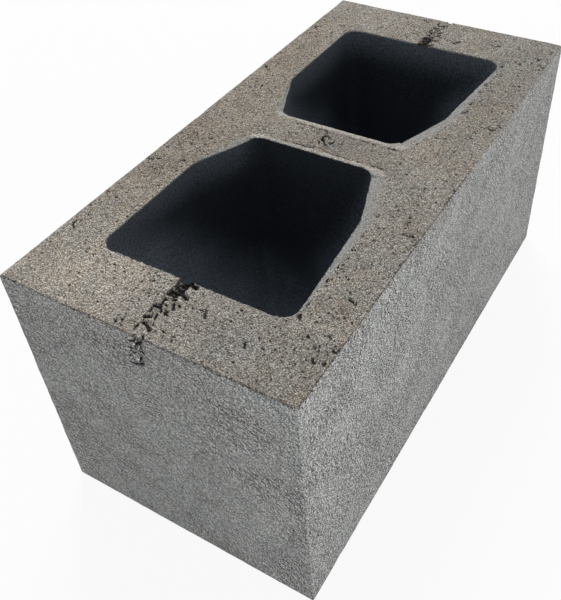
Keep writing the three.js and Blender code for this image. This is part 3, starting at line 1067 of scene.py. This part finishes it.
def scattered(tree, places, spacing, radius, share):
    """A mask of ragged spots, mm apart and mm wide, where a cell's luck is below a share's socket."""
    wobble = add(tree, "ShaderNodeTexNoise", {"Scale": SPOT_WOBBLE / radius, "Detail": 1.0}, {
        "Vector": places})
    bent = add(tree, "ShaderNodeVectorMath", {"operation": "MULTIPLY_ADD", 1: (2 * radius,) * 3}, {
        0: wobble.outputs["Color"], 2: places})
    cells = add(tree, "ShaderNodeTexVoronoi", {"Scale": 1 / spacing}, {"Vector": bent.outputs[0]})
    luck = add(tree, "ShaderNodeSeparateColor", links={"Color": cells.outputs["Color"]})
    size = add(tree, "ShaderNodeMapRange", {"From Max": 0.0, "To Min": 0.0, "To Max": radius / spacing}, {
        "Value": luck.outputs[0], "From Min": share})
    inside = add(tree, "ShaderNodeMath", {"operation": "SUBTRACT"}, {
        0: size.outputs[0], 1: cells.outputs["Distance"]})
    spots = add(tree, "ShaderNodeMath", {
        "operation": "MULTIPLY", "use_clamp": True, 1: SPOT_EDGE * spacing / radius}, {
        0: inside.outputs[0]})
    return spots.outputs[0]


def holes(tree, places):
    """A mask of the mesh's open holes, where shade is painted. Crumbs just under a mm wide make its edge
    ragged.
    """
    crumbs = add(tree, "ShaderNodeTexNoise", {"Scale": HOLE_CRUMBS_PER_MM, "Detail": 1.0}, {
        "Vector": places})
    opened = add(tree, "ShaderNodeAttribute", {"attribute_name": "openness"})
    uneven = add(tree, "ShaderNodeMath", {"operation": "MULTIPLY_ADD", 1: HOLE_RAGGED}, {
        0: crumbs.outputs["Fac"], 2: opened.outputs["Fac"]})
    return add(tree, "ShaderNodeMapRange", {"From Min": HOLE_OPENS, "From Max": HOLE_OPEN}, {
        "Value": uneven.outputs[0]}).outputs[0]


print("a grain's middle is", PAINTED_TIP_LIGHT / PAINTED_GAP_SHADE, "times as light as its gap")

# %% [markdown]
# **Tones and paste.** Patches of the block are warmer, cooler, lighter or darker than the rest, and
# the mesh already holds by how much. One helper multiplies a colour by a tint and a level made from
# that. The other turns the mesh's paste into whatever number a pattern needs.

# %% Tones and paste
DARKEST, LIGHTEST = 0.65, 1.35


def toned(tree, colour, cold, warm):
    """The colour after the mesh's warmth, between a cold and a warm tint, and its lightness."""
    warmth = add(tree, "ShaderNodeAttribute", {"attribute_name": "warmth"})
    warm_share = add(tree, "ShaderNodeMapRange", {"From Min": -1.0, "From Max": 1.0}, {
        "Value": warmth.outputs["Fac"]})
    tint = add(tree, "ShaderNodeMix", {**BLEND, FIRST: cold, SECOND: warm}, {SHARE: warm_share.outputs[0]})
    lightness = add(tree, "ShaderNodeAttribute", {"attribute_name": "lightness"})
    level = add(tree, "ShaderNodeMapRange", {
        "From Min": -1.0, "From Max": 1.0, "To Min": DARKEST, "To Max": LIGHTEST}, {
        "Value": lightness.outputs["Fac"]})
    tinted = add(tree, "ShaderNodeMix", TIMES, {FIRST: colour, SECOND: tint.outputs[MIXED]})
    lit = add(tree, "ShaderNodeMix", TIMES, {FIRST: tinted.outputs[MIXED], SECOND: level.outputs[0]})
    return lit.outputs[MIXED]


def by_paste(tree, bare, sealed):
    """A number between that of bare sand and that of a closed skin of paste."""
    paste = add(tree, "ShaderNodeAttribute", {"attribute_name": "paste"})
    return add(tree, "ShaderNodeMapRange", {"To Min": bare, "To Max": sealed}, {
        "Value": paste.outputs["Fac"]}).outputs[0]


print("levels from", DARKEST, "to", LIGHTEST)

# %% [markdown]
# ** Crumbs with painted light.** The mould and the strike-off bar slide over fresh concrete and leave
# crumbs and small plates of paste. A bump alone shows crumbs only where a lamp rakes over them. So one
# height is made first, of small plates of paste with crumbs on them. Light and shade are painted from
# it into the colour: paler where the height stands above its own value a small shift further on, and
# darker where it lies below, as if the crumbs were lit from one side. The same height goes into the
# bump. It looks like fine stucco from any side, because nothing in it depends on the camera or the lamps.

# %% Crumbs with painted light
PLATE_MM = 2.2
PLATE_LOW, PLATE_HIGH = 0.47, 0.55
PALEST_PAINTED_LIGHT = 1.3


def crumbly(tree, places, moved, crumb_mm, plate_rise):
    """Height of the paste, some mm away from the places: thin plates with crumbs on them."""
    there = add(tree, "ShaderNodeVectorMath", {"operation": "ADD", 1: moved}, {0: places})
    curls = add(tree, "ShaderNodeTexNoise", {"Scale": 1 / PLATE_MM, "Detail": 2.0}, {
        "Vector": there.outputs[0]})
    plates = add(tree, "ShaderNodeMapRange", {"From Min": PLATE_LOW, "From Max": PLATE_HIGH}, {
        "Value": curls.outputs["Fac"], "To Max": plate_rise})
    crumbs = add(tree, "ShaderNodeTexNoise", {"Scale": 1 / crumb_mm, "Detail": 2.0}, {
        "Vector": there.outputs[0]})
    return add(tree, "ShaderNodeMath", {"operation": "ADD"}, {
        0: plates.outputs[0], 1: crumbs.outputs["Fac"]}).outputs[0]


def painted_relief_light(tree, places, colour, light_shift, crumb_mm, plate_rise, painted_light_strength):
    """The colour with painted light on one side of the crumbs and painted shade on the other, and their
    height.
    """
    height = crumbly(tree, places, (0, 0, 0), crumb_mm, plate_rise)
    ahead = crumbly(tree, places, light_shift, crumb_mm, plate_rise)
    slope = add(tree, "ShaderNodeMath", {"operation": "SUBTRACT"}, {0: height, 1: ahead})
    level = add(tree, "ShaderNodeMath", {"operation": "MULTIPLY_ADD", 2: 1.0}, {
        0: slope.outputs[0], 1: painted_light_strength})
    capped = add(tree, "ShaderNodeMath", {"operation": "MINIMUM", 1: PALEST_PAINTED_LIGHT}, {0: level.outputs[0]})
    return add(tree, "ShaderNodeVectorMath", {"operation": "SCALE"}, {
        0: colour, "Scale": capped.outputs[0]}).outputs[0], height


# Painted shade for the holes, grooves and crumbled rims that the mesh marks as open.
VOID_SHADE = "#272625"
print("void colour, linear:", [round(c, 3) for c in linear(VOID_SHADE)[:3]])

# %% [markdown]
# ** Struck top.** Cement, crushed sand and 1 to 2 mm grit, struck off and never trowelled. That gives
# the eye a warm, open grain: greys and tans side by side with hollows between them, where shade is
# painted dark. One pattern of grains is the sand, and a coarser one mixes in the grit. Real sand goes
# down to 0.1 mm. It is drawn at 0.45 mm, about the smallest size that still shows at this distance.
# Paste covers it on the lips. Brown pits with painted shade, more of them where the mesh says that the
# top pitted, and the holes of the mesh, painted dark with shade, lie over all of it.

# %% Struck top
SAND_MM = 0.45
GRIT_MM = 1.8
GRIT_SHARE = 0.08
SAND_TONES = ["#120f0d", "#7f7870", "#9d968d", "#b5afa6", "#e8e3da"]
GRIT_TONES = ["#605a54", "#97918b", "#a09a93", "#cdc8c0"]
TOP_COLD, TOP_WARM = "#f3faff", "#fff4e6"
# The lips' pale colour is partly paste and partly painted light.
LIP_PASTE_AND_LIGHT, LIP_PASTE_SHARE = "#a3a29f", 0.5
TOP_LIGHT_SHIFT = (-0.35, 0.5, 0.0)
TOP_CRUMB_MM = 0.7
TOP_PLATES, LIP_PLATES = 0.2, 0.1
TOP_PAINTED_LIGHT, LIP_PAINTED_LIGHT = 1.4, 0.6
BROWN_PIT_SHADE = "#352c25"
BROWN_PIT_SPACING_MM = 2.7
BROWN_PIT_RADIUS_MM = 1.0


def struck_top_finish():
    """Open, sandy concrete for the top and the lips."""
    material, places, shader = blank_concrete("open_struck_concrete", roughness=0.95)
    tree = material.node_tree
    sand, sand_cells = grains(tree, places, SAND_MM, SAND_TONES)
    grit, _ = grains(tree, places, GRIT_MM, GRIT_TONES)
    mixed = add(tree, "ShaderNodeMix", {**BLEND, SHARE: GRIT_SHARE}, {FIRST: sand, SECOND: grit})
    smeared = add(tree, "ShaderNodeMix", {**BLEND, SHARE: LIP_PASTE_SHARE, SECOND: LIP_PASTE_AND_LIGHT}, {
        FIRST: mixed.outputs[MIXED]})
    paste = add(tree, "ShaderNodeAttribute", {"attribute_name": "paste"})
    covered = add(tree, "ShaderNodeMix", BLEND, {
        SHARE: paste.outputs["Fac"], FIRST: mixed.outputs[MIXED], SECOND: smeared.outputs[MIXED]})
    # Painted light and painted shade on opposite sides of every crumb.
    painted_emboss, crumbs = painted_relief_light(tree, places, covered.outputs[MIXED], TOP_LIGHT_SHIFT, TOP_CRUMB_MM,
                              by_paste(tree, TOP_PLATES, LIP_PLATES),
                              by_paste(tree, TOP_PAINTED_LIGHT, LIP_PAINTED_LIGHT))
    share = add(tree, "ShaderNodeAttribute", {"attribute_name": "pitted"})
    # Small pits too fine for the mesh, painted brown and dark with shade.
    small_pits = scattered(tree, places, BROWN_PIT_SPACING_MM, BROWN_PIT_RADIUS_MM, share.outputs["Fac"])
    pit_shaded = add(tree, "ShaderNodeMix", {**BLEND, SECOND: BROWN_PIT_SHADE}, {
        SHARE: small_pits, FIRST: toned(tree, painted_emboss, TOP_COLD, TOP_WARM)})
    # Painted shade in the mesh's open holes.
    colour = add(tree, "ShaderNodeMix", {**BLEND, SECOND: VOID_SHADE}, {
        SHARE: holes(tree, places), FIRST: pit_shaded.outputs[MIXED]})
    tree.links.new(colour.outputs[MIXED], shader.inputs["Base Color"])
    roundness = add(tree, "ShaderNodeMath", {"operation": "SUBTRACT", 0: 1.0}, {
        1: sand_cells.outputs["Distance"]})
    rounded = add(tree, "ShaderNodeMath", {"operation": "SUBTRACT"}, {
        0: roundness.outputs[0], 1: small_pits})
    height = add(tree, "ShaderNodeMath", {"operation": "ADD"}, {0: rounded.outputs[0], 1: crumbs})
    bump = add(tree, "ShaderNodeBump", {"Strength": 0.8, "Distance": 0.3 * MM}, {
        "Height": height.outputs[0]})
    tree.links.new(bump.outputs[0], shader.inputs["Normal"])
    return material


STRUCK_CONCRETE = struck_top_finish()
print("struck top:", len(STRUCK_CONCRETE.node_tree.nodes), "nodes")

# %% [markdown]
# ** Moulded faces.** The steel wall slid up past the fresh mix and left a skin of cement paste with
# small plates and crumbs in it. That gives the eye a cool, matt grey like fine stucco, paler where
# the skin is whole, and grainy with dark specks where it tore. Light is painted on the crumbs: on the
# ends it falls from up and to the side, on the long faces mostly from along the block. On those the
# whole pattern is also drawn out lengthwise. One function makes both finishes. The sand in the skin
# is as fine as on the top, and is drawn as coarse as there to show.

# %% Moulded faces
END_LIGHT_SHIFT = (0.3, 0.0, 0.45)
SIDE_LIGHT_SHIFT = (0.0, -0.5, 0.15)
SIDE_STRETCH = (1, 0.65, 1.15)
END_TONES = ["#000000", "#505150", "#969796", "#a8a9a8", "#d6d7d6"]
SIDE_TONES = ["#000000", "#505150", "#9b9c9b", "#b0b1b0", "#dcdddc"]
FACE_COLD, FACE_WARM = "#f4fbf8", "#fff7f8"
FACE_ROUGHNESS = 0.9
FACE_CRUMB_MM = 0.6
FACE_PASTE = "#929392"
TORN_PASTE_SHARE, SKIN_PASTE_SHARE = 0.15, 0.2
SKIN_PLATES = 0.5
TORN_PAINTED_LIGHT, SKIN_PAINTED_LIGHT = 1.5, 0.8
SPECK = "#3d3e3d"
SPECK_DEPTH = 0.7
SPECK_SPACING_MM = 2.0
SPECK_RADIUS_MM = 0.7
TORN_SPECKS, SKIN_SPECKS = 0.6, 0.1


def moulded_face_finish(name, stretch, tones, light_shift, plate_rise, painted_light_strength, bump_strength):
    """Closed, crumbed concrete for the faces that slid along the mould."""
    material, places, shader = blank_concrete(name, FACE_ROUGHNESS, stretch)
    tree = material.node_tree
    grain, grain_cells = grains(tree, places, SAND_MM, tones)
    smeared = add(tree, "ShaderNodeMix", {**BLEND, SECOND: FACE_PASTE}, {
        SHARE: by_paste(tree, TORN_PASTE_SHARE, SKIN_PASTE_SHARE), FIRST: grain})
    # Painted light and painted shade on opposite sides of every crumb.
    painted_emboss, crumbs = painted_relief_light(tree, places, smeared.outputs[MIXED], light_shift, FACE_CRUMB_MM,
                              by_paste(tree, plate_rise, SKIN_PLATES * plate_rise),
                              by_paste(tree, TORN_PAINTED_LIGHT * painted_light_strength, SKIN_PAINTED_LIGHT * painted_light_strength))
    specks = scattered(tree, places, SPECK_SPACING_MM, SPECK_RADIUS_MM,
                       by_paste(tree, TORN_SPECKS, SKIN_SPECKS))
    faint = add(tree, "ShaderNodeMath", {"operation": "MULTIPLY", 1: SPECK_DEPTH}, {0: specks})
    specked = add(tree, "ShaderNodeMix", {**BLEND, SECOND: SPECK}, {
        SHARE: faint.outputs[0], FIRST: toned(tree, painted_emboss, FACE_COLD, FACE_WARM)})
    # Painted shade in the mesh's open holes.
    colour = add(tree, "ShaderNodeMix", {**BLEND, SECOND: VOID_SHADE}, {
        SHARE: holes(tree, places), FIRST: specked.outputs[MIXED]})
    tree.links.new(colour.outputs[MIXED], shader.inputs["Base Color"])
    height = add(tree, "ShaderNodeMath", {"operation": "SUBTRACT"}, {
        0: crumbs, 1: grain_cells.outputs["Distance"]})
    bump = add(tree, "ShaderNodeBump", {"Strength": bump_strength, "Distance": 0.4 * MM}, {
        "Height": height.outputs[0]})
    tree.links.new(bump.outputs[0], shader.inputs["Normal"])
    return material


END_CONCRETE = moulded_face_finish("mould_drawn_end", stretch=(1, 1, 1), tones=END_TONES, light_shift=END_LIGHT_SHIFT,
                                   plate_rise=0.5, painted_light_strength=4.6, bump_strength=0.7)
SIDE_CONCRETE = moulded_face_finish("mould_drawn_side", stretch=SIDE_STRETCH, tones=SIDE_TONES,
                                    light_shift=SIDE_LIGHT_SHIFT, plate_rise=0.28, painted_light_strength=4.2, bump_strength=0.5)
print("moulded faces:", len(END_CONCRETE.node_tree.nodes), "nodes each")

# %% [markdown]
# ** Core walls.** The steel formers were drawn out of the block, so these walls are smooth. Their
# colour holds painted light and shade: nearly black where they are painted as shaded and a plain grey
# where they are painted as lit. The mesh's painted light blends one into the other, and a soft noise of
# 1.2 mm is its grain.

# %% Core walls
# Nearly black painted shade and plain grey painted light of the core walls.
SHADED_WALL, LIT_WALL = "#1f242a", "#9098a0"
WALL_GRAIN_MM = 1.2
WALL_GRAIN_SHARE = 0.8
OVERLAY = {"data_type": "RGBA", "blend_type": "OVERLAY", SHARE: WALL_GRAIN_SHARE}


def core_wall_finish():
    """Smooth concrete for the walls of the cores, with painted light and shade in its colour."""
    material, places, shader = blank_concrete("painted_shade_core_concrete", roughness=0.85)
    tree = material.node_tree
    grain = add(tree, "ShaderNodeTexNoise", {"Scale": 1 / WALL_GRAIN_MM, "Detail": 3.0}, {"Vector": places})
    painted_light_share = add(tree, "ShaderNodeAttribute", {"attribute_name": "core_painted_light"})
    # The wall's colour runs from painted shade to painted light.
    tone = add(tree, "ShaderNodeMix", {**BLEND, FIRST: SHADED_WALL, SECOND: LIT_WALL}, {SHARE: painted_light_share.outputs["Fac"]})
    crisp = add(tree, "ShaderNodeMapRange", {"From Min": 0.2, "From Max": 0.8}, {
        "Value": grain.outputs["Fac"]})
    grained = add(tree, "ShaderNodeMix", OVERLAY, {FIRST: tone.outputs[MIXED], SECOND: crisp.outputs[0]})
    tree.links.new(grained.outputs[MIXED], shader.inputs["Base Color"])
    bump = add(tree, "ShaderNodeBump", {"Strength": 0.6, "Distance": 0.5 * MM}, {
        "Height": grain.outputs["Fac"]})
    tree.links.new(bump.outputs[0], shader.inputs["Normal"])
    return material


WALL_CONCRETE = core_wall_finish()
print("core walls:", len(WALL_CONCRETE.node_tree.nodes), "nodes")

# %% [markdown]
# **Underside.** The block stood on a flat steel pallet while it set. That side is plain and close:
# grains pressed level, in three greys. They are drawn at 1.2 mm, because nothing shows them finer.

# %% Underside
BED_GRAIN_MM = 1.2
BED_TONES = ["#5e5f5d", "#8a8b88", "#b2b2ae"]


def bed_finish():
    """Flat, close concrete for the side that stood on the pallet."""
    material, places, shader = blank_concrete("pallet_side_concrete", roughness=0.9)
    tree = material.node_tree
    # The grains carry painted light in their middles and painted shade in their gaps.
    grain, cells = grains(tree, places, BED_GRAIN_MM, BED_TONES)
    tree.links.new(grain, shader.inputs["Base Color"])
    bump = add(tree, "ShaderNodeBump", {"Strength": 0.5, "Distance": 0.4 * MM}, {
        "Height": cells.outputs["Distance"]})
    tree.links.new(bump.outputs[0], shader.inputs["Normal"])
    return material


BED_CONCRETE = bed_finish()
print("underside:", len(BED_CONCRETE.node_tree.nodes), "nodes")

# %% [markdown]
# Each face already knows its surface by a number, and that number is its material slot. So the
# finishes only have to be added to the mesh in the same order. The lips are the top's own concrete
# with paste on it, so they share its finish.

# %% Give each surface its finish
FINISHES = {STRUCK_TOP: STRUCK_CONCRETE, END_FACE: END_CONCRETE, LONG_FACE: SIDE_CONCRETE,
            CORE_WALL: WALL_CONCRETE, MOUTH_LIP: STRUCK_CONCRETE, BED: BED_CONCRETE}
for surface in sorted(FINISHES):
    skin.materials.append(FINISHES[surface])
print("materials:", [material.name for material in skin.materials])

# %% [markdown]
# ## The finished piece
#
# The relief should look crumbly and the grid should not show. Flat shading shows every facet, and
# plain smooth shading lets the many small faces of a worn edge bend the light on the large flat one
# beside it. So each point faces the way of the faces round it, weighed by their areas. Then the mesh
# becomes the one visible piece. It rides the block's body and stands in for the plain solid.

# %% Put the piece into the frame
cast_block = bpy.data.objects.new("cast_block", skin)
bpy.context.scene.collection.objects.link(cast_block)
facing = [Vector() for _ in skin.vertices]
for polygon in skin.polygons:
    for index in polygon.vertices:
        facing[index] += polygon.normal * polygon.area
skin.shade_smooth()
skin.normals_split_custom_set_from_vertices([total.normalized() for total in facing])
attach(cast_block, "root")
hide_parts("hollow_block")
print("triangles:", sum(len(polygon.vertices) - 2 for polygon in skin.polygons))
